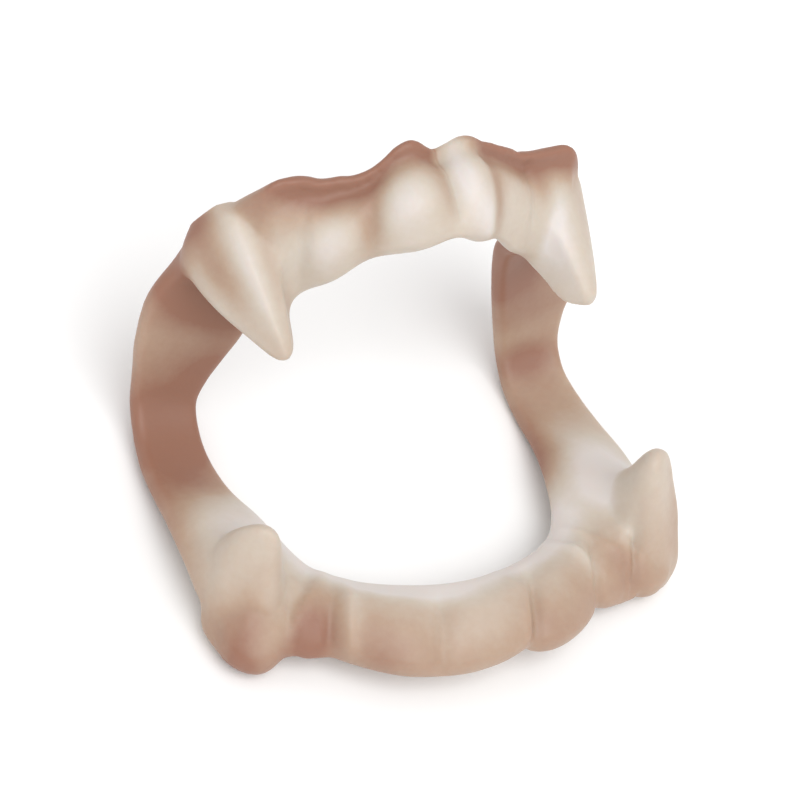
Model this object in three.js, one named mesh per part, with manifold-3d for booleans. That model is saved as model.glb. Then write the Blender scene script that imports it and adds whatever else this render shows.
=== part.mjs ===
// A one-piece vampire fang denture in soft plastic: an upper arch with four front teeth between
// two long fangs, a lower arch with small eye teeth at its ends, and two side straps that carry
// one arch on the other and hold the mouth open.
// The mouth is modelled looking at its teeth: X to the right, Y to the back, Z up, with
// the lower eye teeth's roots at Y = 0 and Z = 0. At the end it is leaned back to how it rests.
import * as THREE from "three";
import loadManifold from "manifold-3d";

// sizes in millimetres
const halfWidth = 29; // from the midline to the outer side of a strap at the lower arch
const throat = 28; // from the lower eye teeth's roots back to the bend of the straps
const gape = 54; // from the lower eye teeth's roots up to the gum's two middle peaks
const wall = 2.8; // thickness of the arches at their middle
const crownRelief = 1.4; // how far the front teeth stand out of the upper gum
const lowerRelief = 1.0; // how far the lower teeth's roots stand out of the lower gum
const gumStep = 1.1; // depth of the hollow between the upper crowns and the gum's edge
const fangWidth = 10.4; // broad side of a fang at its root
const fangThickness = 6.0; // narrow side of a fang at its root
const eyeToothWidth = 8.4; // broad side of a lower eye tooth
const eyeToothThickness = 5.4; // narrow side of a lower eye tooth
const upperLean = 0.02; // sideways lean of the upper arch on its straps, in radians

// where the upper arch's lean starts, ends and turns, as shares of gape
const leanHeights = { start: 0.37, end: 0.63, pivot: 0.81 };
// where the crowns and the gum's hollow lie across the upper wall, as shares of its height
const crownBand = { middle: 0.4, spread: 0.26 };
const hollowBand = { middle: 0.84, spread: 0.12 };
// how the lower roots rise across the lower wall, as shares of its height
const rootRise = { start: 0.3, end: 0.75 };
// powers of the rounding: 2 is an ellipse, more is squarer
const roundness = { crown: 2.2, scallop: 3, tooth: 0.88 };
// a tooth's front ridge and the flatter facet beside it: angle round it and spread in radians
const toothRidge = { at: 2.25, spread: 0.34, height: 0.1 };
const toothFacet = { at: 1.25, spread: 0.5, height: -0.05 };
const heelTaper = 0.6; // how pointed a tooth's inner side is, from round at 0 to an edge at 1

// fineness of the facets
const edgeCrowding = 0.35; // share of the steps across that draws in to a section's rounded edges
const flatness = 0.007; // share of the wall by which the finished facets may leave the true surface
const stationsPerHalf = 54;
const samplesPerStation = 16;
const stepsAcross = 14;
const toothRings = 16;
const toothSides = 20;

// Half of the ring, from the upper midline down the strap to the lower midline. Each row is a
// section from its bite edge to its gum edge. x is a share of halfWidth, y of throat, z of gape,
// swell (how far the middle stands out) and thick are shares of wall. crowns and roots say how
// fully the upper teeth and the lower teeth's roots stand out there.
const ringColumns = [
  "biteX", "biteY", "biteZ", "gumX", "gumY", "gumZ", "swell", "thick", "crowns", "roots",
];
const ringRows = [
  // upper arch, midline to fang
  [0.0, 0.22, 0.824, 0.0, 0.457, 0.967, 0.2, 1.05, 1, 0],
  [0.117, 0.285, 0.795, 0.11, 0.436, 1.0, 0.35, 1.05, 1, 0],
  [0.262, 0.4, 0.77, 0.262, 0.457, 0.953, 0.35, 1.0, 1, 0],
  [0.379, 0.478, 0.718, 0.397, 0.496, 0.932, 0.35, 1.0, 1, 0],
  [0.5, 0.59, 0.685, 0.531, 0.511, 0.935, 0.3, 1.0, 1, 0],
  [0.49, 0.679, 0.678, 0.636, 0.529, 0.932, 0.2, 1.0, 0.5, 0],
  [0.497, 0.764, 0.652, 0.803, 0.7, 0.845, 0.15, 0.93, 0, 0],
  [0.524, 0.829, 0.589, 0.858, 0.804, 0.75, 0.0, 0.86, 0, 0],
  // strap, down its bend
  [0.559, 0.879, 0.526, 0.955, 0.871, 0.65, -0.07, 0.79, 0, 0],
  [0.6, 0.929, 0.47, 0.977, 0.929, 0.541, -0.07, 0.75, 0, 0],
  [0.641, 0.971, 0.415, 0.959, 0.975, 0.452, -0.07, 0.72, 0, 0],
  [0.672, 0.993, 0.359, 0.955, 0.982, 0.381, -0.07, 0.72, 0, 0],
  [0.679, 0.936, 0.3, 0.962, 0.921, 0.319, -0.07, 0.72, 0, 0],
  [0.679, 0.821, 0.256, 0.979, 0.796, 0.274, -0.07, 0.72, 0, 0],
  [0.669, 0.664, 0.222, 0.989, 0.629, 0.237, -0.04, 0.75, 0, 0],
  [0.641, 0.514, 0.194, 0.996, 0.429, 0.193, 0.15, 0.79, 0, 0],
  // lower arch, eye tooth to midline
  [0.617, 0.407, 0.167, 0.986, 0.229, 0.133, 0.6, 0.86, 0, 0.2],
  [0.586, 0.329, 0.148, 0.958, 0.057, 0.063, 0.95, 0.89, 0, 0.6],
  [0.545, 0.257, 0.135, 0.862, -0.021, 0.023, 0.95, 0.93, 0, 1],
  [0.49, 0.186, 0.126, 0.71, -0.036, 0.022, 0.93, 0.96, 0, 1],
  [0.407, 0.121, 0.118, 0.524, -0.093, 0.025, 0.86, 1.0, 0, 1],
  [0.276, 0.057, 0.113, 0.331, -0.221, 0.023, 0.79, 1.0, 0, 1],
  [0.138, 0.0, 0.116, 0.159, -0.257, 0.017, 0.71, 1.0, 0, 1],
  [0.0, -0.032, 0.122, 0.0, -0.257, 0.015, 0.68, 1.0, 0, 1],
];

// Front teeth of the upper arch. from and to are shares of halfWidth, relief of crownRelief.
const upperTeethColumns = ["from", "to", "relief"];
const upperTeethRows = [
  [-0.503, -0.262, 0.9],
  [-0.262, 0.0, 1.1],
  [0.0, 0.262, 1.1],
  [0.262, 0.503, 0.8],
];

// Teeth of the lower arch, left to right. relief is a share of lowerRelief.
const lowerTeethColumns = ["from", "to", "relief"];
const lowerTeethRows = [
  [-1.0, -0.745, 0.8],
  [-0.745, -0.57, 0.3],
  [-0.57, -0.21, 1.0],
  [-0.21, 0.15, 0.9],
  [0.15, 0.565, 1.1],
  [0.565, 0.77, 0.3],
  [0.77, 1.0, 0.7],
];

// Scallops of the lower gum's edge, left to right. drop, a share of wall, is how far each hangs
// below the arch's line.
const scallopColumns = ["from", "to", "drop"];
const scallopRows = [
  [-1.02, -0.745, 0.35],
  [-0.745, -0.57, -0.15],
  [-0.57, 0.15, 0.58],
  [0.15, 0.565, 0.56],
  [0.565, 0.77, 0.32],
  [0.77, 1.02, 0.3],
];

// A fang and a lower eye tooth. Each row is a section on the line from root to tip. along is the
// share of that line, back a share of throat, wide and deep are shares of the tooth's two sides,
// and heel, a share of deep, is how much further its inner side reaches.
const toothColumns = ["along", "back", "wide", "deep", "heel"];
const fangRows = [
  [0.0, 0.0, 0.36, 0.4, 0.0],
  [0.14, 0.02, 0.84, 0.9, 0.2],
  [0.34, 0.04, 1.02, 1.02, 0.7],
  [0.56, 0.035, 0.8, 0.88, 1.3],
  [0.78, 0.015, 0.5, 0.64, 1.4],
  [0.94, 0.0, 0.26, 0.4, 0.9],
  [1.0, 0.0, 0.09, 0.14, 0.0],
];
const eyeToothRows = [
  [0.0, 0.0, 0.42, 0.46, 0.0],
  [0.1, 0.0, 0.92, 0.84, 0.1],
  [0.4, 0.02, 1.04, 1.02, 0.3],
  [0.65, 0.03, 0.92, 0.88, 0.4],
  [0.86, 0.025, 0.78, 0.68, 0.3],
  [0.96, 0.0, 0.5, 0.44, 0.1],
  [1.0, 0.0, 0.14, 0.16, 0.0],
];
// Where the two fangs and the two lower eye teeth stand. root and tip are shares of halfWidth,
// throat and gape. broad is the direction of the tooth's broad side, and its face is a quarter
// turn on from that.
const fang = { rows: fangRows, width: fangWidth, thickness: fangThickness };
const eyeTooth = { rows: eyeToothRows, width: eyeToothWidth, thickness: eyeToothThickness };
const teeth = [
  { ...fang, root: [-0.725, 0.73, 0.85], tip: [-0.65, 0.286, 0.606], broad: [-0.55, 0.83, 0] },
  { ...fang, root: [0.7, 0.73, 0.87], tip: [0.638, 0.286, 0.616], broad: [0.55, 0.83, 0] },
  { ...eyeTooth, root: [-0.914, 0.043, 0.012], tip: [-0.85, 0.0, 0.322], broad: [0.72, -0.69, 0] },
  { ...eyeTooth, root: [0.938, 0.043, 0.01], tip: [0.838, 0.0, 0.335], broad: [-0.72, -0.69, 0] },
];

const named = (columns, row) => Object.fromEntries(columns.map((name, i) => [name, row[i]]));
const inShares = (point) => new THREE.Vector3(point[0] * halfWidth, point[1] * throat, point[2] * gape);
const mirrored = (v) => new THREE.Vector3(-v.x, v.y, v.z);
const smooth = (low, high, value) => THREE.MathUtils.smoothstep(value, low, high);
const bell = (value, middle, spread) => Math.exp(-(((value - middle) / spread) ** 2));

// a curve through four values, between the second and the third
function through(a, b, c, d, t) {
  const bend = 2 * a - 5 * b + 4 * c - d;
  const rest = 3 * b - a - 3 * c + d;
  return 0.5 * (2 * b + (c - a) * t + bend * t * t + rest * t * t * t);
}

// One row of the ring in millimetres. A row past either midline is its neighbour mirrored.
function ringRow(index) {
  const last = ringRows.length - 1;
  const turned = index < 0 || index > last;
  const inside = index < 0 ? -index : Math.min(index, 2 * last - index);
  const row = named(ringColumns, ringRows[inside]);
  const side = turned ? -1 : 1;
  const bite = inShares([side * row.biteX, row.biteY, row.biteZ]);
  const gum = inShares([side * row.gumX, row.gumY, row.gumZ]);
  const rest = [row.swell * wall, row.thick * wall, row.crowns, row.roots];
  return [bite.x, bite.y, bite.z, gum.x, gum.y, gum.z, ...rest];
}

// a section anywhere on the half ring
function section(place) {
  const start = Math.min(Math.floor(place), ringRows.length - 2);
  const near = [-1, 0, 1, 2].map((step) => ringRow(start + step));
  const value = near[0].map((_, k) => through(...near.map((row) => row[k]), place - start));
  const bite = new THREE.Vector3(value[0], value[1], value[2]);
  const gum = new THREE.Vector3(value[3], value[4], value[5]);
  return { bite, gum, swell: value[6], thick: value[7], crowns: value[8], roots: value[9] };
}

// sections of the half ring at even steps along it
function evenSections(count) {
  const fine = samplesPerStation * count;
  const samples = Array.from({ length: fine + 1 }, (_, i) => section((i / fine) * (ringRows.length - 1)));
  const travelled = [0];
  for (let i = 1; i <= fine; i += 1) {
    const [before, here] = [samples[i - 1], samples[i]];
    const step = before.bite.distanceTo(here.bite) + before.gum.distanceTo(here.gum);
    travelled.push(travelled[i - 1] + step);
  }
  return Array.from({ length: count }, (_, k) => {
    const goal = (travelled[fine] * k) / (count - 1);
    const found = travelled.findIndex((length) => length >= goal - 1e-9);
    return samples[found];
  });
}

// how far from the middle of its span a place is, as a share of half the span
const offsetIn = (span, share) => Math.abs(share - (span.from + span.to) / 2) / ((span.to - span.from) / 2);

// how far the upper teeth's face stands out at one point
function upperRelief(x, across) {
  const crown = upperTeethRows
    .map((row) => named(upperTeethColumns, row))
    .reduce((sum, tooth) => {
      const rounded = Math.max(0, 1 - offsetIn(tooth, x / halfWidth) ** roundness.crown);
      return sum + tooth.relief * rounded;
    }, 0);
  const crowns = crownRelief * crown * bell(across, crownBand.middle, crownBand.spread);
  return crowns - gumStep * bell(across, hollowBand.middle, hollowBand.spread);
}

// a value that is full over the middle of each span and nothing at its ends
function scalloped(columns, rows, key, x) {
  const share = x / halfWidth;
  const span = rows.map((row) => named(columns, row)).find((one) => share >= one.from && share <= one.to);
  return span ? span[key] * (1 - offsetIn(span, share) ** roundness.scallop) : 0;
}

// the closed outline of one section, its front face first and then its back face
function outline(at, along) {
  const hang = wall * at.roots * scalloped(scallopColumns, scallopRows, "drop", at.gum.x);
  const gum = at.gum.clone().setZ(at.gum.z - hang);
  const span = gum.clone().sub(at.bite);
  const height = span.length();
  const outward = along.clone().cross(span).normalize();
  const radius = at.thick / 2;
  const front = [];
  const back = [];
  for (let i = 0; i <= stepsAcross; i += 1) {
    const even = i / stepsAcross;
    const crowded = 0.5 - 0.5 * Math.cos(Math.PI * even);
    const across = even + edgeCrowding * (crowded - even);
    const swell = 4 * across * (1 - across) * at.swell;
    const middle = at.bite.clone().addScaledVector(span, across).addScaledVector(outward, swell);
    const slope = span.clone().addScaledVector(outward, 4 * (1 - 2 * across) * at.swell).normalize();
    const normal = outward.clone().addScaledVector(slope, -slope.dot(outward)).normalize();
    const inset = Math.min(across, 1 - across) * height;
    const half = inset < radius ? Math.sqrt(Math.max(0, radius ** 2 - (radius - inset) ** 2)) : radius;
    const root = scalloped(lowerTeethColumns, lowerTeethRows, "relief", middle.x);
    const rise = lowerRelief * root * smooth(rootRise.start, rootRise.end, across);
    const relief = at.crowns * upperRelief(middle.x, across) + at.roots * rise;
    front.push(middle.clone().addScaledVector(normal, half + relief * Math.min(1, inset / radius)));
    back.push(middle.clone().addScaledVector(normal, -half));
  }
  return [...front, ...back.slice(1, -1).reverse()];
}

// triangles of a grid whose rows are closed rings of points
function gridTriangles(rowCount, pointsPerRow, closed) {
  const triangles = [];
  for (let i = 0; i < rowCount - (closed ? 0 : 1); i += 1) {
    for (let j = 0; j < pointsPerRow; j += 1) {
      const next = (j + 1) % pointsPerRow;
      const here = i * pointsPerRow;
      const there = ((i + 1) % rowCount) * pointsPerRow;
      triangles.push([here + j, there + j, there + next], [here + j, there + next, here + next]);
    }
  }
  return triangles;
}

function ringBody() {
  const half = evenSections(stationsPerHalf);
  const other = half.slice(1, -1).reverse()
    .map((at) => ({ ...at, bite: mirrored(at.bite), gum: mirrored(at.gum) }));
  const all = [...half, ...other];
  const middles = all.map((at) => at.bite.clone().add(at.gum).multiplyScalar(0.5));
  const outlines = all.map((at, i) => {
    const before = middles[(i + all.length - 1) % all.length];
    const after = middles[(i + 1) % all.length];
    return outline(at, after.clone().sub(before));
  });
  return { points: outlines.flat(), triangles: gridTriangles(all.length, 2 * stepsAcross, true) };
}

// a tooth as rounded sections from its root to its tip, with a ridge down its front
function toothBody(tooth) {
  const rows = tooth.rows.map((row) => named(toothColumns, row));
  const root = inShares(tooth.root);
  const tip = inShares(tooth.tip);
  const axis = tip.clone().sub(root).normalize();
  const broad = new THREE.Vector3(...tooth.broad);
  broad.addScaledVector(axis, -axis.dot(broad)).normalize();
  const narrow = axis.clone().cross(broad).multiplyScalar(Math.sign(root.x));
  const full = (wave) => Math.sign(wave) * Math.abs(wave) ** roundness.tooth;
  const points = [];
  for (let i = 0; i < toothRings; i += 1) {
    const place = (i / (toothRings - 1)) * (rows.length - 1);
    const start = Math.min(Math.floor(place), rows.length - 2);
    const near = [-1, 0, 1, 2].map((step) => rows[THREE.MathUtils.clamp(start + step, 0, rows.length - 1)]);
    const value = (key) => through(...near.map((row) => row[key]), place - start);
    const centre = root.clone().lerp(tip, value("along"));
    centre.y += value("back") * throat;
    for (let j = 0; j < toothSides; j += 1) {
      const turn = (2 * Math.PI * j) / toothSides;
      const swelling = 1 + toothRidge.height * bell(turn, toothRidge.at, toothRidge.spread)
        + toothFacet.height * bell(turn, toothFacet.at, toothFacet.spread);
      const [round, depth] = [full(Math.cos(turn)), full(Math.sin(turn))];
      const inner = Math.max(0, -Math.sin(turn));
      const pointed = Math.sign(round) * (1 - inner);
      const breadth = inner > 0 ? THREE.MathUtils.lerp(round, pointed, heelTaper) : round;
      const wide = (breadth * swelling * value("wide") * tooth.width) / 2;
      const reach = 1 + inner * value("heel");
      const deep = (depth * swelling * reach * value("deep") * tooth.thickness) / 2;
      points.push(centre.clone().addScaledVector(broad, wide).addScaledVector(narrow, deep));
    }
  }
  const [rootCap, tipCap] = [points.length, points.length + 1];
  const lastRing = (toothRings - 1) * toothSides;
  const triangles = gridTriangles(toothRings, toothSides, false);
  for (let j = 0; j < toothSides; j += 1) {
    const next = (j + 1) % toothSides;
    triangles.push([rootCap, j, next], [tipCap, lastRing + next, lastRing + j]);
  }
  points.push(root, tip);
  const outward = root.x < 0 ? triangles : triangles.map((t) => [t[0], t[2], t[1]]);
  return { points, triangles: outward };
}

// the upper arch leans a little to one side on its soft straps
function lean(point) {
  const angle = upperLean * smooth(leanHeights.start * gape, leanHeights.end * gape, point.z);
  const pivot = leanHeights.pivot * gape;
  const [x, z] = [point.x, point.z - pivot];
  return new THREE.Vector3(x * Math.cos(angle) - z * Math.sin(angle), point.y,
    pivot + x * Math.sin(angle) + z * Math.cos(angle));
}

const manifold = await loadManifold();
manifold.setup();

function solid(body) {
  const leaned = body.points.map(lean);
  return new manifold.Manifold(new manifold.Mesh({
    numProp: 3,
    vertProperties: new Float32Array(leaned.flatMap((p) => [p.x, p.y, p.z])),
    triVerts: new Uint32Array(body.triangles.flat()),
  }));
}

const bodies = [ringBody(), ...teeth.map(toothBody)];
const whole = manifold.Manifold.union(bodies.map(solid)).simplify(flatness * wall);
const moulding = whole.getMesh();

const geometry = new THREE.BufferGeometry();
geometry.setAttribute("position", new THREE.BufferAttribute(new Float32Array(moulding.vertProperties), 3));
geometry.setIndex(new THREE.BufferAttribute(new Uint32Array(moulding.triVerts), 1));

// Lying free, the mouth leans back until its centre of mass is between its front and back feet.
function restingLean(mesh) {
  const position = mesh.getAttribute("position");
  const index = mesh.getIndex();
  const corner = (i) => new THREE.Vector3().fromBufferAttribute(position, index.getX(i));
  const balance = new THREE.Vector3();
  let volume = 0;
  for (let i = 0; i < index.count; i += 3) {
    const [a, b, c] = [corner(i), corner(i + 1), corner(i + 2)];
    const part = a.dot(b.clone().cross(c));
    volume += part;
    balance.addScaledVector(a.add(b).add(c), part / 4);
  }
  balance.divideScalar(volume);
  const side = Array.from({ length: position.count }, (_, i) => [position.getY(i), position.getZ(i)])
    .sort((p, q) => p[0] - q[0] || p[1] - q[1]);
  const below = [];
  for (const point of side) {
    const turns = () => {
      const [p, q] = below.slice(-2);
      return (q[0] - p[0]) * (point[1] - p[1]) - (q[1] - p[1]) * (point[0] - p[0]) <= 0;
    };
    while (below.length > 1 && turns()) below.pop();
    below.push(point);
  }
  let lowest = { height: Infinity, angle: 0 };
  for (let i = 1; i < below.length; i += 1) {
    const [p, q] = [below[i - 1], below[i]];
    const angle = Math.atan2(q[1] - p[1], q[0] - p[0]);
    const [ahead, up] = [balance.y - p[0], balance.z - p[1]];
    const foot = ahead * Math.cos(angle) + up * Math.sin(angle);
    const height = up * Math.cos(angle) - ahead * Math.sin(angle);
    const steady = foot > 0 && foot < Math.hypot(q[0] - p[0], q[1] - p[1]);
    if (steady && height < lowest.height) lowest = { height, angle: -angle };
  }
  return lowest.angle;
}

const tilt = restingLean(geometry);
geometry.rotateX(tilt);
geometry.computeBoundingBox();
const box = geometry.boundingBox;
geometry.translate(-(box.min.x + box.max.x) / 2, -(box.min.y + box.max.y) / 2, -box.min.z);
geometry.computeVertexNormals();

const softPlastic = new THREE.MeshStandardMaterial({ color: 0xd9c9b8, roughness: 0.5, metalness: 0 });
const denture = new THREE.Mesh(geometry, softPlastic);
denture.name = "fang_denture";

const part = new THREE.Group();
part.name = "vampire_fang_denture";
part.add(denture);
export default part;
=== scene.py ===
import math

import bpy
import numpy as np
import openvdb
from mathutils import Matrix, Vector
from mathutils.kdtree import KDTree


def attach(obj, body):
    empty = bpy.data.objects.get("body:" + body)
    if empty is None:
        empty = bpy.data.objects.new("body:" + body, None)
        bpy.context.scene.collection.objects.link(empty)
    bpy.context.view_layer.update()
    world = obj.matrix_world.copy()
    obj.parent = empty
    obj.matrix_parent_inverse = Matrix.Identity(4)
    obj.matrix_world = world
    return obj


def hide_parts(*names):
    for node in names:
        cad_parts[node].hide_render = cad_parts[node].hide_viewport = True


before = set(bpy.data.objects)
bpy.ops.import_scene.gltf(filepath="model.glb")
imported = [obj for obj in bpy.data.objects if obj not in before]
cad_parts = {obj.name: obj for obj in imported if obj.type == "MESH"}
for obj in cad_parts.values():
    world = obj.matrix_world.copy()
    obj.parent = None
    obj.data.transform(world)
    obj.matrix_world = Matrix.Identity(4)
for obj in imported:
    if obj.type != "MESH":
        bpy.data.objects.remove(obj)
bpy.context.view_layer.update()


# The denture: one moulding in soft, slightly translucent vinyl, cast in a two-part mould. A ring runs down one side
# strap from the upper arch, round the lower arch and up the other strap, with two fangs, two eye teeth and a low cusp.
# It is built looking at its teeth, X right, Y back and Z up, and then leaned back to how it rests.

HALF_WIDTH = 0.029
THROAT = 0.028
GAPE = 0.054
WALL = 0.0028
CROWN_RELIEF = 0.0014
LOWER_RELIEF = 0.0010
GUM_STEP = 0.0011
UPPER_LEAN = 0.02
UPPER_PIVOT = 0.81 * GAPE
UPPER_BEGINS = 0.6 * GAPE
RESTING_LEAN = math.radians(30.507)
PLACES_ROUND = 240
STEPS_ACROSS = 44
TOOTH_SQUARENESS = 0.88
VOXEL = 0.00032
BAND = 16
TRIM = 0.00003
MARGIN = 0.006

# bite edge x y z, gum edge x y z (shares of half width, throat and gape), swell and thickness (shares of the
# wall), then how fully the upper crowns and the lower roots stand out
RING = np.array([
    (0.000, 0.220, 0.824, 0.000, 0.457, 0.967, 0.20, 1.05, 1, 0),
    (0.117, 0.285, 0.795, 0.110, 0.436, 1.000, 0.35, 1.05, 1, 0),
    (0.262, 0.400, 0.770, 0.262, 0.457, 0.953, 0.35, 1.00, 1, 0),
    (0.379, 0.478, 0.718, 0.397, 0.496, 0.932, 0.35, 1.00, 1, 0),
    (0.500, 0.590, 0.685, 0.531, 0.511, 0.935, 0.50, 1.00, 1, 0),
    (0.480, 0.679, 0.678, 0.636, 0.529, 0.925, 0.70, 1.00, 0.5, 0),
    (0.484, 0.764, 0.652, 0.762, 0.700, 0.837, 0.50, 0.93, 0, 0),
    (0.524, 0.829, 0.589, 0.842, 0.804, 0.750, 0.00, 0.86, 0, 0),
    (0.559, 0.879, 0.526, 0.955, 0.871, 0.650, -0.07, 0.79, 0, 0),
    (0.600, 0.929, 0.470, 0.977, 0.929, 0.541, -0.07, 0.75, 0, 0),
    (0.641, 0.971, 0.415, 0.959, 0.975, 0.452, -0.07, 0.72, 0, 0),
    (0.672, 0.993, 0.359, 0.955, 0.982, 0.381, -0.07, 0.72, 0, 0),
    (0.679, 0.936, 0.300, 0.962, 0.921, 0.319, -0.07, 0.72, 0, 0),
    (0.679, 0.821, 0.256, 0.979, 0.796, 0.274, -0.07, 0.72, 0, 0),
    (0.669, 0.664, 0.222, 0.989, 0.629, 0.237, 0.15, 0.75, 0, 0),
    (0.641, 0.514, 0.194, 0.996, 0.429, 0.193, 0.75, 0.79, 0, 0),
    (0.617, 0.407, 0.167, 0.986, 0.229, 0.133, 1.40, 0.86, 0, 0.2),
    (0.586, 0.329, 0.148, 0.958, 0.050, 0.048, 1.45, 0.89, 0, 0.6),
    (0.545, 0.257, 0.135, 0.862, -0.021, 0.023, 1.10, 0.93, 0, 1),
    (0.490, 0.186, 0.126, 0.710, -0.036, 0.022, 0.93, 0.96, 0, 1),
    (0.407, 0.121, 0.118, 0.524, -0.093, 0.025, 0.86, 1.00, 0, 1),
    (0.276, 0.057, 0.113, 0.331, -0.221, 0.023, 0.79, 1.00, 0, 1),
    (0.138, 0.000, 0.116, 0.159, -0.257, 0.017, 0.71, 1.00, 0, 1),
    (0.000, -0.032, 0.122, 0.000, -0.257, 0.015, 0.68, 1.00, 0, 1),
])
MIRROR = np.array((-1, 1, 1, -1, 1, 1, 1, 1, 1, 1))

# from, to (shares of the half width), relief
UPPER_TEETH = [(-0.503, -0.262, 0.8), (-0.262, 0.0, 0.9), (0.0, 0.24, 0.28), (0.24, 0.503, 0.15)]
LOWER_TEETH = [
    (-0.95, -0.633, 0.8), (-0.633, -0.469, 0.3), (-0.469, -0.07, 1.0), (-0.07, 0.265, 0.9),
    (0.265, 0.515, 1.1), (0.515, 0.645, 0.3), (0.645, 0.92, 0.7),
]
# the lower roots are spaced along this direction, which is nearly level
SPACED = np.array((0.878, -0.475, 0.064))
# from, to, how far the lower gum's scallop hangs, a share of the wall
SCALLOPS = [
    (-1.04, -0.77, 0.42), (-0.77, -0.67, -0.22), (-0.57, 0.15, 0.58), (0.15, 0.565, 0.56),
    (0.565, 0.77, 0.32), (0.77, 1.02, 0.30),
]
# how far the upper gum edge rises or dips, in the same way
PEAKS = [
    (-0.72, -0.44, 0.16), (-0.36, -0.17, -0.15), (0.03, 0.20, -0.12), (0.20, 0.38, 0.20), (0.42, 0.66, -0.12),
]

# ridges and grooves down the front: arch (1 upper, -1 lower), where and spread (shares of the half width), from
# and to across the ring, height (a share of the wall)
FURROWS = [
    (1, 0.43, 0.018, 0.3, 0.9, -0.16), (1, -0.50, 0.02, 0.3, 0.9, -0.06), (1, 0.0, 0.02, 0.0, 1.1, -0.06),
    (1, 0.10, 0.055, 0.0, 1.1, 0.30), (1, 0.30, 0.14, 0.0, 0.9, -0.10),
    (-1, 0.505, 0.014, 0.4, 1.1, -0.20), (-1, 0.53, 0.010, 0.5, 1.1, -0.12), (-1, 0.655, 0.014, 0.5, 1.1, -0.22),
    (-1, 0.62, 0.010, 0.5, 1.1, -0.12), (-1, 0.24, 0.02, 0.3, 1.1, 0.12), (-1, 0.27, 0.015, 0.4, 1.1, -0.14),
    (-1, -0.40, 0.02, 0.3, 1.1, 0.14), (-1, -0.60, 0.03, 0.4, 1.1, -0.16), (-1, -0.47, 0.015, 0.5, 1.1, -0.12),
    (-1, -0.90, 0.035, 0.5, 1.1, -0.7),
]

# along the tooth, set back (share of the throat), broad side and narrow side (shares of the tooth's own), and how
# much further its inner side reaches
LEFT_FANG = np.array([
    (0.00, 0.000, 0.50, 0.60, 0.0), (0.14, 0.020, 0.92, 0.98, 0.2), (0.34, 0.040, 0.97, 1.02, 0.5),
    (0.56, 0.035, 0.80, 0.88, 1.3), (0.78, 0.015, 0.50, 0.64, 1.4), (0.94, 0.000, 0.26, 0.40, 0.9),
    (1.00, 0.000, 0.09, 0.14, 0.0),
])
RIGHT_FANG = np.array([
    (0.00, 0.000, 0.50, 0.60, 0.0), (0.14, 0.020, 0.94, 0.92, 0.2), (0.34, 0.040, 0.99, 0.98, 0.3),
    (0.56, 0.035, 0.80, 0.88, 0.7), (0.78, 0.015, 0.50, 0.66, 0.9), (0.94, 0.000, 0.26, 0.42, 0.9),
    (1.00, 0.000, 0.09, 0.14, 0.0),
])
EYE_TOOTH = np.array([
    (0.00, 0.020, 0.60, 0.56, 0.0), (0.10, 0.030, 0.98, 0.86, 0.0), (0.40, 0.055, 1.00, 1.02, 0.6),
    (0.65, 0.060, 0.88, 0.90, 0.4), (0.86, 0.035, 0.66, 0.64, 0.1), (0.96, 0.010, 0.40, 0.38, 0.0),
    (1.00, 0.000, 0.14, 0.16, 0.0),
])
# rows, root, tip (shares of half width, throat and gape), direction of the broad side, broad size, narrow size,
# how pointed its inner side is, the ridge (angle round it and spread in radians, height) and the fillet's reach;
# the last is the low cusp
TEETH = [
    (LEFT_FANG, (-0.768, 0.73, 0.838), (-0.650, 0.286, 0.606), (-0.55, 0.83, 0.0), 0.0104, 0.0060, 0.6,
     (2.08, 0.20, 0.14), 0.0035),
    (RIGHT_FANG, (0.672, 0.71, 0.850), (0.638, 0.286, 0.616), (0.55, 0.83, 0.0), 0.0104, 0.0060, 0.6,
     (3.45, 0.60, 0.05), 0.0035),
    (EYE_TOOTH, (-0.881, 0.080, 0.034), (-0.821, 0.043, 0.311), (0.72, -0.69, 0.0), 0.0080, 0.0054, 0.0,
     (2.0, 0.5, 0.04), 0.0044),
    (EYE_TOOTH, (0.938, 0.043, 0.020), (0.840, 0.0, 0.335), (-0.72, -0.69, 0.0), 0.0080, 0.0054, 0.0,
     (2.25, 0.34, 0.10), 0.0050),
    (EYE_TOOTH, (-0.80, 0.25, 0.150), (-0.784, 0.25, 0.242), (0.40, -0.92, 0.0), 0.0076, 0.0054, 0.0,
     (2.0, 0.5, 0.0), 0.0050),
]
SPACE = np.array((HALF_WIDTH, THROAT, GAPE))
# the flatter facets beside a tooth's ridge: angle from the ridge, spread (radians), depth
FACETS = [(-0.75, 0.42, 0.05), (0.60, 0.25, 0.03)]


def through(a, b, c, d, t):
    return 0.5 * (2 * b + (c - a) * t + (2 * a - 5 * b + 4 * c - d) * t**2 + (3 * b - a - 3 * c + d) * t**3)


def ease(low, high, value):
    t = np.clip((value - low) / (high - low), 0, 1)
    return t * t * (3 - 2 * t)


def bell(value, middle, spread):
    return np.exp(-(((value - middle) / spread) ** 2))


# the ring's cross-sections at places counted in the rows of RING, on a smooth curve through them
def ring_sections(place):
    scale = np.array((*SPACE, *SPACE, WALL, WALL, 1, 1))
    last = len(RING) - 1

    def row(k):
        inside = np.where(k < 0, -k, np.minimum(k, 2 * last - k))
        out = RING[inside] * scale
        out[(k < 0) | (k > last)] *= MIRROR
        return out

    start = np.minimum(np.floor(place).astype(int), last - 1)
    t = (place - start)[:, None]
    return through(row(start - 1), row(start), row(start + 1), row(start + 2), t)


# places that lie evenly along the ring
def even_places(count):
    fine = np.linspace(0, len(RING) - 1, 4000)
    rows = ring_sections(fine)
    bite_step = np.linalg.norm(np.diff(rows[:, :3], axis=0), axis=1)
    gum_step = np.linalg.norm(np.diff(rows[:, 3:6], axis=0), axis=1)
    travelled = np.r_[0, np.cumsum(bite_step + gum_step)]
    return np.interp(np.linspace(0, travelled[-1], count), travelled, fine)


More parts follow.
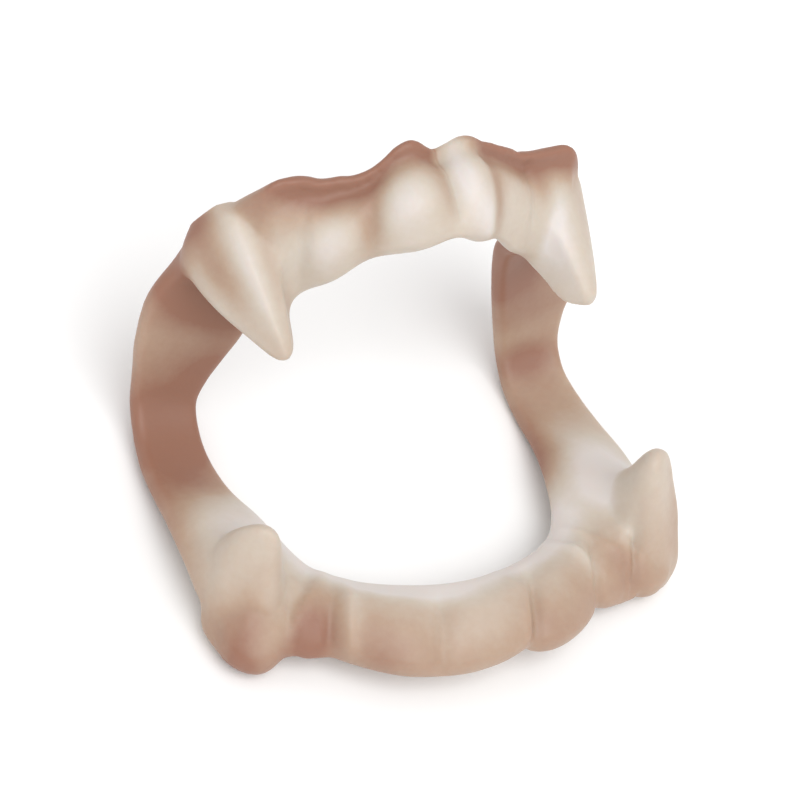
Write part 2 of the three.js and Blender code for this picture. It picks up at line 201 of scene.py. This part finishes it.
# a rounded swelling over each span of x
def rounded(spans, x):
    share = x / HALF_WIDTH
    out = np.zeros_like(share)
    for low, high, value in spans:
        offset = np.abs(share - (low + high) / 2) / ((high - low) / 2)
        out += np.where(offset < 1, value * (1 - offset**3), 0)
    return out


def upper_relief(x, across):
    share = x / HALF_WIDTH
    crown = 0
    for low, high, value in UPPER_TEETH:
        offset = np.abs(share - (low + high) / 2) / ((high - low) / 2)
        crown = crown + value * np.clip(1 - offset**2.2, 0, None)
    return CROWN_RELIEF * crown * bell(across, 0.40, 0.26) - GUM_STEP * bell(across, 0.84, 0.12)


def grid_quads(rows, columns, closed):
    i, j = np.meshgrid(np.arange(rows if closed else rows - 1), np.arange(columns), indexing="ij")
    here, there = i * columns, (i + 1) % rows * columns
    after = (j + 1) % columns
    return np.stack([here + j, there + j, there + after, here + after], -1).reshape(-1, 4)


# the ring as a closed band: its front with teeth and furrows, and its plain back
def ring_shape(half_count, steps):
    place = even_places(half_count)
    half = ring_sections(place)
    other = half[1:-1][::-1] * MIRROR
    place = np.r_[place, place[1:-1][::-1]]
    rows = np.concatenate([half, other])
    bite, gum = rows[:, :3], rows[:, 3:6].copy()
    swell, thick, crowns, roots = rows[:, 6:].T
    middles = (bite + gum) / 2
    gum[:, 2] += WALL * (crowns * rounded(PEAKS, gum[:, 0]) - roots * rounded(SCALLOPS, gum[:, 0]))
    along = np.roll(middles, -1, 0) - np.roll(middles, 1, 0)
    span = gum - bite
    height = np.linalg.norm(span, axis=1)
    outward = np.cross(along, span)
    outward /= np.linalg.norm(outward, axis=1)[:, None]
    even = np.linspace(0, 1, steps + 1)
    across = 0.65 * even + 0.35 * (0.5 - 0.5 * np.cos(np.pi * even))
    w = across[None, :, None]
    bulge = swell[:, None, None]
    middle = bite[:, None] + span[:, None] * w + outward[:, None] * (4 * w * (1 - w) * bulge)
    slope = span[:, None] + outward[:, None] * (4 * (1 - 2 * w) * bulge)
    slope /= np.linalg.norm(slope, axis=2)[..., None]
    normal = outward[:, None] - slope * (slope * outward[:, None]).sum(2)[..., None]
    normal /= np.linalg.norm(normal, axis=2)[..., None]
    radius = thick[:, None] / 2
    inset = np.minimum(across, 1 - across)[None] * height[:, None]
    round_edge = np.sqrt(np.clip(radius**2 - (radius - inset) ** 2, 0, None))
    half_thick = np.where(inset < radius, round_edge, radius)
    x = middle[..., 0]
    spread = np.broadcast_to(across, x.shape)
    relief = crowns[:, None] * upper_relief(x, spread)
    upright = middle @ SPACED
    begins = 0.12 + 0.25 * np.clip(18.2 - place, 0, 2.5)[:, None]
    lower_relief = LOWER_RELIEF * rounded(LOWER_TEETH, upright) * ease(begins, begins + 0.3, spread)
    relief += roots[:, None] * lower_relief
    for arch, at, long, from_bite, to_gum, high in FURROWS:
        ends = ease(from_bite - 0.1, from_bite + 0.1, spread) * (1 - ease(to_gum - 0.1, to_gum + 0.1, spread))
        fullness = (crowns if arch > 0 else roots)[:, None]
        share = (x if arch > 0 else upright) / HALF_WIDTH
        relief += WALL * high * fullness * bell(share, at, long) * ends
    relief = relief * np.minimum(1, inset / radius)
    front = middle + normal * (half_thick + relief)[..., None]
    back = middle - normal * half_thick[..., None]
    points = np.concatenate([front, back[:, 1:-1][:, ::-1]], axis=1)
    turn = np.concatenate([across, across[1:-1][::-1]])
    face = np.concatenate([np.ones(steps + 1), np.zeros(steps - 1)])
    count = points.shape[1]
    facts = np.stack([np.repeat(place, count), np.tile(turn, len(place)), np.tile(face, len(place))], 1)
    return points.reshape(-1, 3), grid_quads(len(place), count, True), facts


# a tooth: squarish rounds from root to tip, with a ridge, facets beside it and a heel towards its inner side
def tooth_shape(rows, root, tip, broad, width, thickness, taper, ridge, rings=60, sides=56):
    root, tip = np.array(root) * SPACE, np.array(tip) * SPACE
    axis = (tip - root) / np.linalg.norm(tip - root)
    broad = np.array(broad) - axis * np.dot(axis, broad)
    broad /= np.linalg.norm(broad)
    narrow = np.cross(axis, broad) * np.sign(root[0])
    place = np.linspace(0, len(rows) - 1, rings)
    start = np.minimum(np.floor(place).astype(int), len(rows) - 2)
    near = [rows[np.clip(start + k, 0, len(rows) - 1)] for k in (-1, 0, 1, 2)]
    value = through(*near, (place - start)[:, None])
    centre = root + (tip - root) * value[:, :1] + np.outer(value[:, 1] * THROAT, (0, 1, 0))
    angle = np.linspace(0, 2 * np.pi, sides, endpoint=False)
    wave = lambda v: np.sign(v) * np.abs(v) ** TOOTH_SQUARENESS
    at, long, high = ridge
    facets = sum(deep * bell(angle, at + turned, wide) for turned, wide, deep in FACETS)
    ridge = 1 + high * bell(angle, at, long) - facets
    round_off, inner = wave(np.cos(angle)), np.clip(-np.sin(angle), 0, None)
    pointed = np.where(inner > 0, taper * (np.sign(round_off) * (1 - inner) - round_off), 0)
    wide = np.outer(value[:, 2] * width / 2, (round_off + pointed) * ridge)
    heel = 1 + np.outer(value[:, 4], inner)
    deep = np.outer(value[:, 3] * thickness / 2, wave(np.sin(angle)) * ridge) * heel
    points = centre[:, None] + wide[..., None] * broad + deep[..., None] * narrow
    points = np.concatenate([points.reshape(-1, 3), [root, tip]])
    quads = grid_quads(rings, sides, False)
    j = np.arange(sides)
    after, last = (j + 1) % sides, (rings - 1) * sides
    root_end = np.full(sides, rings * sides)
    root_fan = np.stack([root_end, j, after], 1)
    ends = np.concatenate([root_fan, np.stack([root_end + 1, last + after, last + j], 1)])
    facts = np.stack([np.repeat(value[:, 0], sides), np.tile(angle, rings)], 1)
    return points, quads, ends, facts


# the upper arch sits slightly askew on the straps
def settled(points):
    angle = UPPER_LEAN * ease(0.37 * GAPE, 0.63 * GAPE, points[:, 2])
    x, z = points[:, 0], points[:, 2] - UPPER_PIVOT
    out = points.copy()
    out[:, 0] = x * np.cos(angle) - z * np.sin(angle)
    out[:, 2] = UPPER_PIVOT + x * np.sin(angle) + z * np.cos(angle)
    return out


# how far every spot of the block lies from a closed shape, less than 0 inside it
def distances(points, quads, triangles, start, size):
    grid = openvdb.FloatGrid.createLevelSetFromPolygons(
        points.astype(np.float32), triangles=triangles.astype(np.uint32), quads=quads.astype(np.uint32),
        transform=openvdb.createLinearTransform(voxelSize=VOXEL), halfWidth=BAND)
    out = np.full(size, BAND * VOXEL, np.float32)
    grid.copyToArray(out, ijk=start)
    return out


# two shapes as one, with a fillet where their surfaces meet at an angle
def blended(a, b, reach):
    alike = sum(u * v for u, v in zip(np.gradient(a, VOXEL), np.gradient(b, VOXEL)))
    overlap = np.clip(reach - np.abs(a - b), 0, None) / reach
    return np.minimum(a, b) - overlap * overlap * reach / 4 * np.clip(1 - alike, 0, 1)


def nearest(points, wanted):
    tree = KDTree(len(points))
    for i, p in enumerate(points):
        tree.insert(p, i)
    tree.balance()
    found = [tree.find(p)[1:] for p in wanted]
    return np.array([f[0] for f in found]), np.array([f[1] for f in found])


ring_points, ring_quads, ring_facts = ring_shape(PLACES_ROUND, STEPS_ACROSS)
ring_points = settled(ring_points)
low, high = ring_points.min(0) - MARGIN, ring_points.max(0) + MARGIN
start = tuple(int(v) for v in np.floor(low / VOXEL))
size = tuple(int(v) for v in np.ceil((high - low) / VOXEL))
field = distances(ring_points, ring_quads, np.empty((0, 3)), start, size)
tooth_points, tooth_facts = [], []
for number, (*tooth, reach) in enumerate(TEETH):
    points, quads, ends, facts = tooth_shape(*tooth)
    points = settled(points)
    field = blended(field, distances(points, quads, ends, start, size), reach)
    tooth_points.append(points[:-2])
    tooth_facts.append(np.c_[np.full(len(facts), number), facts])
cast = openvdb.FloatGrid(BAND * VOXEL)
cast.copyFromArray(field, ijk=start)
cast.transform = openvdb.createLinearTransform(voxelSize=VOXEL)
cast.gridClass = openvdb.GridClass.LEVEL_SET
place_xyz, cast_quads = cast.convertToQuads(isovalue=-TRIM)
shaped = bpy.data.meshes.new("denture")
shaped.from_pydata(place_xyz.tolist(), [], cast_quads[:, ::-1].tolist())
denture = bpy.data.objects.new("denture", shaped)
bpy.context.collection.objects.link(denture)
relax = denture.modifiers.new("relax", "SMOOTH")
relax.factor = 0.5
relax.iterations = 3
shaped = bpy.data.meshes.new_from_object(denture.evaluated_get(bpy.context.evaluated_depsgraph_get()))
denture.modifiers.clear()
denture.data = shaped
shaped.name = "denture"

count = len(shaped.vertices)
flat = np.empty(count * 3)
shaped.vertices.foreach_get("co", flat)
place_xyz = flat.reshape(-1, 3).copy()
found, from_ring = nearest(ring_points, place_xyz)
place, across, face = ring_facts[found].T
found, from_tooth = nearest(np.concatenate(tooth_points), place_xyz)
tooth, along, round_it = np.concatenate(tooth_facts)[found].T
on_tooth = ease(-0.0004, 0.0006, from_ring - from_tooth)

# the brown tint in the plastic, mixed with painted shade where surfaces turn from the light and in hollows, and
# painted
# highlights where it is left pale: side (-1, 1, or 0 for both), place round the ring in rows of RING, place across it,
# spread both ways, strength
STAIN_AND_PAINTED_LIGHT = [
    (-1, 3.0, 1.05, 2.0, 0.32, 1.9), (1, 2.9, 1.08, 1.9, 0.28, 2.2), (1, 3.45, 0.70, 0.2, 0.12, 0.25),
    (1, 4.8, 1.08, 0.8, 0.24, 1.3), (1, 0.60, 0.98, 0.20, 0.22, -0.4), (-1, 0.6, 0.95, 0.5, 0.22, 0.5),
    (-1, 0.9, 1.05, 0.7, 0.22, 0.5), (-1, 1.95, 0.45, 0.3, 0.4, 0.55), (-1, 5.3, 0.6, 0.7, 0.5, 0.32),
    (1, 3.75, 0.6, 0.25, 0.3, 0.1), (1, 1.45, 0.45, 0.35, 0.4, 0.50), (-1, 0.3, 0.62, 0.30, 0.45, 0.4),
    (-1, 3.1, 0.50, 0.55, 0.22, -0.35), (-1, 1.2, 0.5, 0.45, 0.25, -0.35), (1, 0.45, 0.62, 0.25, 0.35, -0.5),
    (1, 0.85, 0.25, 0.25, 0.22, -0.4), (1, 4.1, 0.5, 0.35, 0.25, -0.35),
    (1, 5.2, -0.02, 1.2, 0.12, 1.2), (-1, 7.3, 0.6, 0.9, 0.7, 1.3), (-1, 9.5, 0.5, 1.6, 1.5, 0.6),
    (-1, 10.0, -0.1, 1.5, 0.4, 1.0), (-1, 12.0, 0.4, 1.5, 1.2, 1.5), (-1, 13.8, 0.5, 0.6, 1.0, 0.45),
    (-1, 14.9, 1.0, 1.0, 0.20, 0.45), (-1, 15.6, 0.5, 0.9, 0.4, -0.45), (-1, 16.8, 0.80, 0.8, 0.35, 0.35),
    (-1, 17.4, 0.75, 0.45, 0.30, 0.2), (-1, 17.7, 1.0, 0.7, 0.14, 0.5), (1, 7.0, 0.2, 1.5, 0.7, 1.4),
    (1, 9.4, 0.5, 1.2, 1.2, 0.6), (1, 11.3, 0.4, 0.8, 0.8, 0.9), (1, 12.8, 0.3, 1.1, 0.9, 0.5),
    (1, 14.8, 0.0, 1.6, 0.23, 1.2), (1, 15.6, 0.55, 1.0, 0.40, -0.7), (1, 16.5, 0.5, 0.6, 0.30, -0.4),
    (1, 18.7, 0.65, 0.45, 0.30, 0.28), (1, 17.6, 0.85, 0.5, 0.25, 0.15),
    (0, 20.5, 0.9, 5.0, 0.52, 0.55), (0, 20.5, 0.08, 5.0, 0.15, -0.65), (-1, 19.2, 0.80, 0.6, 0.42, 0.58),
    (-1, 20.0, 0.5, 0.2, 0.4, -0.25), (1, 21.6, 0.7, 0.5, 0.3, 0.1), (1, 20.2, 0.7, 0.5, 0.3, 0.1),
    (1, 19.8, 0.45, 0.35, 0.3, -0.35), (-1, 21.3, 0.2, 1.5, 0.12, -0.5), (-1, 20.6, 0.85, 0.35, 0.35, 0.2),
]
# the brown tint, painted shade and painted highlights on the teeth: which of TEETH, along it, angle round it, spread
# both ways, strength
TOOTH_STAIN_AND_PAINTED_LIGHT = [
    (0, 0.38, 1.42, 0.30, 0.36, 0.6), (0, 0.22, 0.1, 0.2, 0.7, 0.6), (0, 0.22, 6.2, 0.2, 0.7, 0.6),
    (0, 0.00, 0.9, 0.18, 1.3, 1.0), (0, 0.40, 2.08, 0.7, 0.20, -0.3),
    (0, 0.42, 2.80, 0.34, 0.24, 0.35), (0, 0.35, 5.6, 0.35, 0.8, 0.5), (0, 0.70, 4.0, 0.30, 0.5, 0.3),
    (0, 1.0, 2.0, 0.2, 3.0, 0.15), (1, 0.0, 2.6, 0.06, 2.5, 0.6), (1, 0.36, 3.35, 0.35, 0.55, -1.0),
    (1, 0.35, 1.7, 0.3, 0.4, 0.25), (2, 0.10, 1.20, 0.40, 0.45, 0.6), (2, 0.10, 1.9, 0.35, 1.2, 0.35),
    (2, 0.0, 1.57, 0.25, 3.0, 0.3), (2, 0.25, 0.1, 0.4, 0.6, 0.2), (2, 0.70, 1.57, 0.4, 3.0, 0.12),
    (3, 0.30, 0.6, 0.45, 2.5, 0.30), (3, 0.30, 1.9, 0.5, 0.6, 0.25), (3, 0.95, 1.6, 0.15, 3.0, 0.05),
    (4, 0.1, 1.57, 0.5, 3.0, 0.1), (4, 0.95, 1.2, 0.4, 3.0, -0.35),
]
side = np.sign(place_xyz[:, 0])
ring_stain_and_painted_light, tooth_stain_and_painted_light = np.zeros(count), np.zeros(count)
# add up the brown tint, the painted shade (above 0) and the painted highlights (below 0), on the ring and on the teeth
for where, at, high_up, long, tall, strength in STAIN_AND_PAINTED_LIGHT:
    ring_stain_and_painted_light += strength * bell(place, at, long) * bell(across, high_up, tall) * (side * where >= 0)
for which, at, turned_to, long, wide, strength in TOOTH_STAIN_AND_PAINTED_LIGHT:
    tooth_stain_and_painted_light += strength * bell(along, at, long) * bell(round_it, turned_to, wide) * (tooth == which)
stain_and_painted_light = ring_stain_and_painted_light * (1 - on_tooth) + tooth_stain_and_painted_light * on_tooth
SOFTENING_PASSES = 14
for _ in range(SOFTENING_PASSES):
    edges = np.empty(2 * len(shaped.edges), int)
    shaped.edges.foreach_get("vertices", edges)
    one, two = edges.reshape(-1, 2).T
    total = np.bincount(one, stain_and_painted_light[two], count) + np.bincount(two, stain_and_painted_light[one], count)
    stain_and_painted_light = (stain_and_painted_light + total / (np.bincount(one, minlength=count) + np.bincount(two, minlength=count))) / 2
upper = place_xyz[:, 2] > UPPER_BEGINS
from_middle = np.where(upper, place_xyz[:, 0] + UPPER_LEAN * (place_xyz[:, 2] - UPPER_PIVOT), HALF_WIDTH)

turn = Matrix.Rotation(-RESTING_LEAN, 4, "X")
turned = place_xyz @ np.array(turn.to_3x3()).T
low, high = turned.min(0), turned.max(0)
shift = -np.array(((low[0] + high[0]) / 2, (low[1] + high[1]) / 2, low[2]))
shaped.vertices.foreach_set("co", (turned + shift).ravel())
# the first attribute carries the brown tint together with the painted shade and painted highlights
for name, values in (("stain_and_painted_light", stain_and_painted_light), ("from_middle", from_middle), ("across", across)):
    shaped.attributes.new(name, "FLOAT", "POINT").data.foreach_set("value", values)
for polygon in shaped.polygons:
    polygon.use_smooth = True

plastic = bpy.data.materials.new("soft_plastic")
plastic.use_nodes = True
nodes, links = plastic.node_tree.nodes, plastic.node_tree.links
shader = nodes["Principled BSDF"]


def node(kind, **settings):
    made = nodes.new(kind)
    for name, value in settings.items():
        setattr(made, name, value)
    return made


def value_of(attribute):
    return node("ShaderNodeAttribute", attribute_name=attribute).outputs["Fac"]


def maths(kind, *values):
    made = node("ShaderNodeMath", operation=kind)
    for socket, value in zip(made.inputs, values):
        if isinstance(value, (int, float)):
            socket.default_value = value
        else:
            links.new(value, socket)
    return made.outputs[0]


def mottle(scale, detail):
    made = node("ShaderNodeTexNoise")
    links.new(coordinates.outputs["Object"], made.inputs["Vector"])
    made.inputs["Scale"].default_value = scale
    made.inputs["Detail"].default_value = detail
    return made.outputs["Fac"]


coordinates = node("ShaderNodeTexCoord")
cloud = maths("MULTIPLY", maths("SUBTRACT", mottle(260, 4), 0.5), 0.22)
speck = maths("MULTIPLY", maths("SUBTRACT", mottle(1300, 3), 0.5), 0.12)
# the level mixes the brown tint, painted shade and painted highlights with a random mottle
level = maths("ADD", maths("ADD", value_of("stain_and_painted_light"), cloud), speck)
# the mould's seam at the middle of the upper arch, a thin wavering line that is strongest at the gum edge
waver = maths("MULTIPLY", maths("SUBTRACT", mottle(300, 2), 0.5), 0.0006)
line = maths("ABSOLUTE", maths("ADD", value_of("from_middle"), waver))
seam = node("ShaderNodeMapRange", interpolation_type="SMOOTHSTEP")
links.new(line, seam.inputs["Value"])
for name, number in (("From Min", 0.0), ("From Max", 0.00022), ("To Min", 1.0), ("To Max", 0.0)):
    seam.inputs[name].default_value = number
seam = maths("MULTIPLY", seam.outputs["Result"], maths("POWER", value_of("across"), 2.0))
level = maths("ADD", level, maths("MULTIPLY", seam, 0.25))
ramp = node("ShaderNodeValToRGB")
links.new(maths("DIVIDE", maths("ADD", level, 0.35), 1.35), ramp.inputs["Fac"])
# the plastic from a painted highlight, near white, through its cream to where the brown tint and painted shade are
# deepest
SHADES = [
    (0.0, (0.68, 0.625, 0.59)), (0.26, (0.575, 0.50, 0.42)), (0.58, (0.44, 0.31, 0.225)),
    (0.95, (0.30, 0.145, 0.095)),
]
while len(ramp.color_ramp.elements) < len(SHADES):
    ramp.color_ramp.elements.new(0.5)
for stop, (at, colour) in zip(ramp.color_ramp.elements, SHADES):
    stop.position = at
    stop.color = (*colour, 1)
links.new(ramp.outputs["Color"], shader.inputs["Base Color"])
links.new(maths("ADD", maths("MULTIPLY", mottle(500, 2), 0.16), 0.38), shader.inputs["Roughness"])
shader.inputs["Subsurface Weight"].default_value = 0.25
shader.inputs["Subsurface Radius"].default_value = (1.0, 0.5, 0.3)
shader.inputs["Subsurface Scale"].default_value = 0.002
grain = node("ShaderNodeBump")
grain.inputs["Strength"].default_value = 0.25
grain.inputs["Distance"].default_value = 0.00006
links.new(maths("SUBTRACT", mottle(1600, 3), seam), grain.inputs["Height"])
links.new(grain.outputs["Normal"], shader.inputs["Normal"])
shaped.materials.clear()
shaped.materials.append(plastic)

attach(denture, "root")
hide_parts("fang_denture")


# The floor: a plain pale sheet, far wider than the picture.
floor_mesh = bpy.data.meshes.new("floor")
floor_mesh.from_pydata([(-3, -3, 0), (3, -3, 0), (3, 3, 0), (-3, 3, 0)], [], [(0, 1, 2, 3)])
floor = bpy.data.objects.new("floor", floor_mesh)
bpy.context.collection.objects.link(floor)
pale = bpy.data.materials.new("pale_floor")
pale.use_nodes = True
pale.node_tree.nodes["Principled BSDF"].inputs["Base Color"].default_value = (0.96, 0.96, 0.96, 1)
pale.node_tree.nodes["Principled BSDF"].inputs["Roughness"].default_value = 0.9
pale.node_tree.nodes["Principled BSDF"].inputs["Specular IOR Level"].default_value = 0.1
floor_mesh.materials.append(pale)


# Soft studio light: an even pale surround, and a broad overhead panel so far off that it lights the sheet
# evenly.
world = bpy.data.worlds.new("surround")
bpy.context.scene.world = world
world.use_nodes = True
world.node_tree.nodes["Background"].inputs["Color"].default_value = (1, 1, 1, 1)
world.node_tree.nodes["Background"].inputs["Strength"].default_value = 0.80
panel = bpy.data.lights.new("overhead_panel", "SUN")
panel.energy = 1.50
panel.angle = math.radians(50)
overhead = bpy.data.objects.new("overhead_panel", panel)
overhead.rotation_euler = Vector((0.05, 0.55, -1)).to_track_quat("-Z", "Y").to_euler()
bpy.context.collection.objects.link(overhead)


# The camera: it looks at the denture's front from 30 degrees to the left and 23 above, rolled by 4, before the
# denture is leaned back, and is leaned back with it so that the mouth is seen at the photo's angle.
azimuth, elevation, roll = math.radians(30.0), math.radians(23.4), math.radians(4.03)
level = math.cos(elevation)
ahead = Vector((math.sin(azimuth) * level, math.cos(azimuth) * level, -math.sin(elevation)))
right = Vector((math.cos(azimuth), -math.sin(azimuth), 0))
up = right.cross(ahead)
right, up = math.cos(roll) * right + math.sin(roll) * up, -math.sin(roll) * right + math.cos(roll) * up
DISTANCE = 0.350
eye = -0.00614 * right + 0.02584 * up - DISTANCE * ahead
stand = Matrix((right, up, -ahead)).transposed().to_4x4()
stand.translation = eye
camera_data = bpy.data.cameras.new("camera")
camera_data.sensor_width = 36
# the photo's 9.04 pixels to a millimetre, on its 800 pixels
camera_data.lens = camera_data.sensor_width * 9.04 * 1000 * DISTANCE / 800
camera = bpy.data.objects.new("camera", camera_data)
bpy.context.collection.objects.link(camera)
camera.matrix_world = Matrix.Translation(Vector(shift)) @ turn @ stand
camera_data.clip_end = 20
bpy.context.scene.camera = camera
bpy.context.scene.view_settings.view_transform = "Standard"
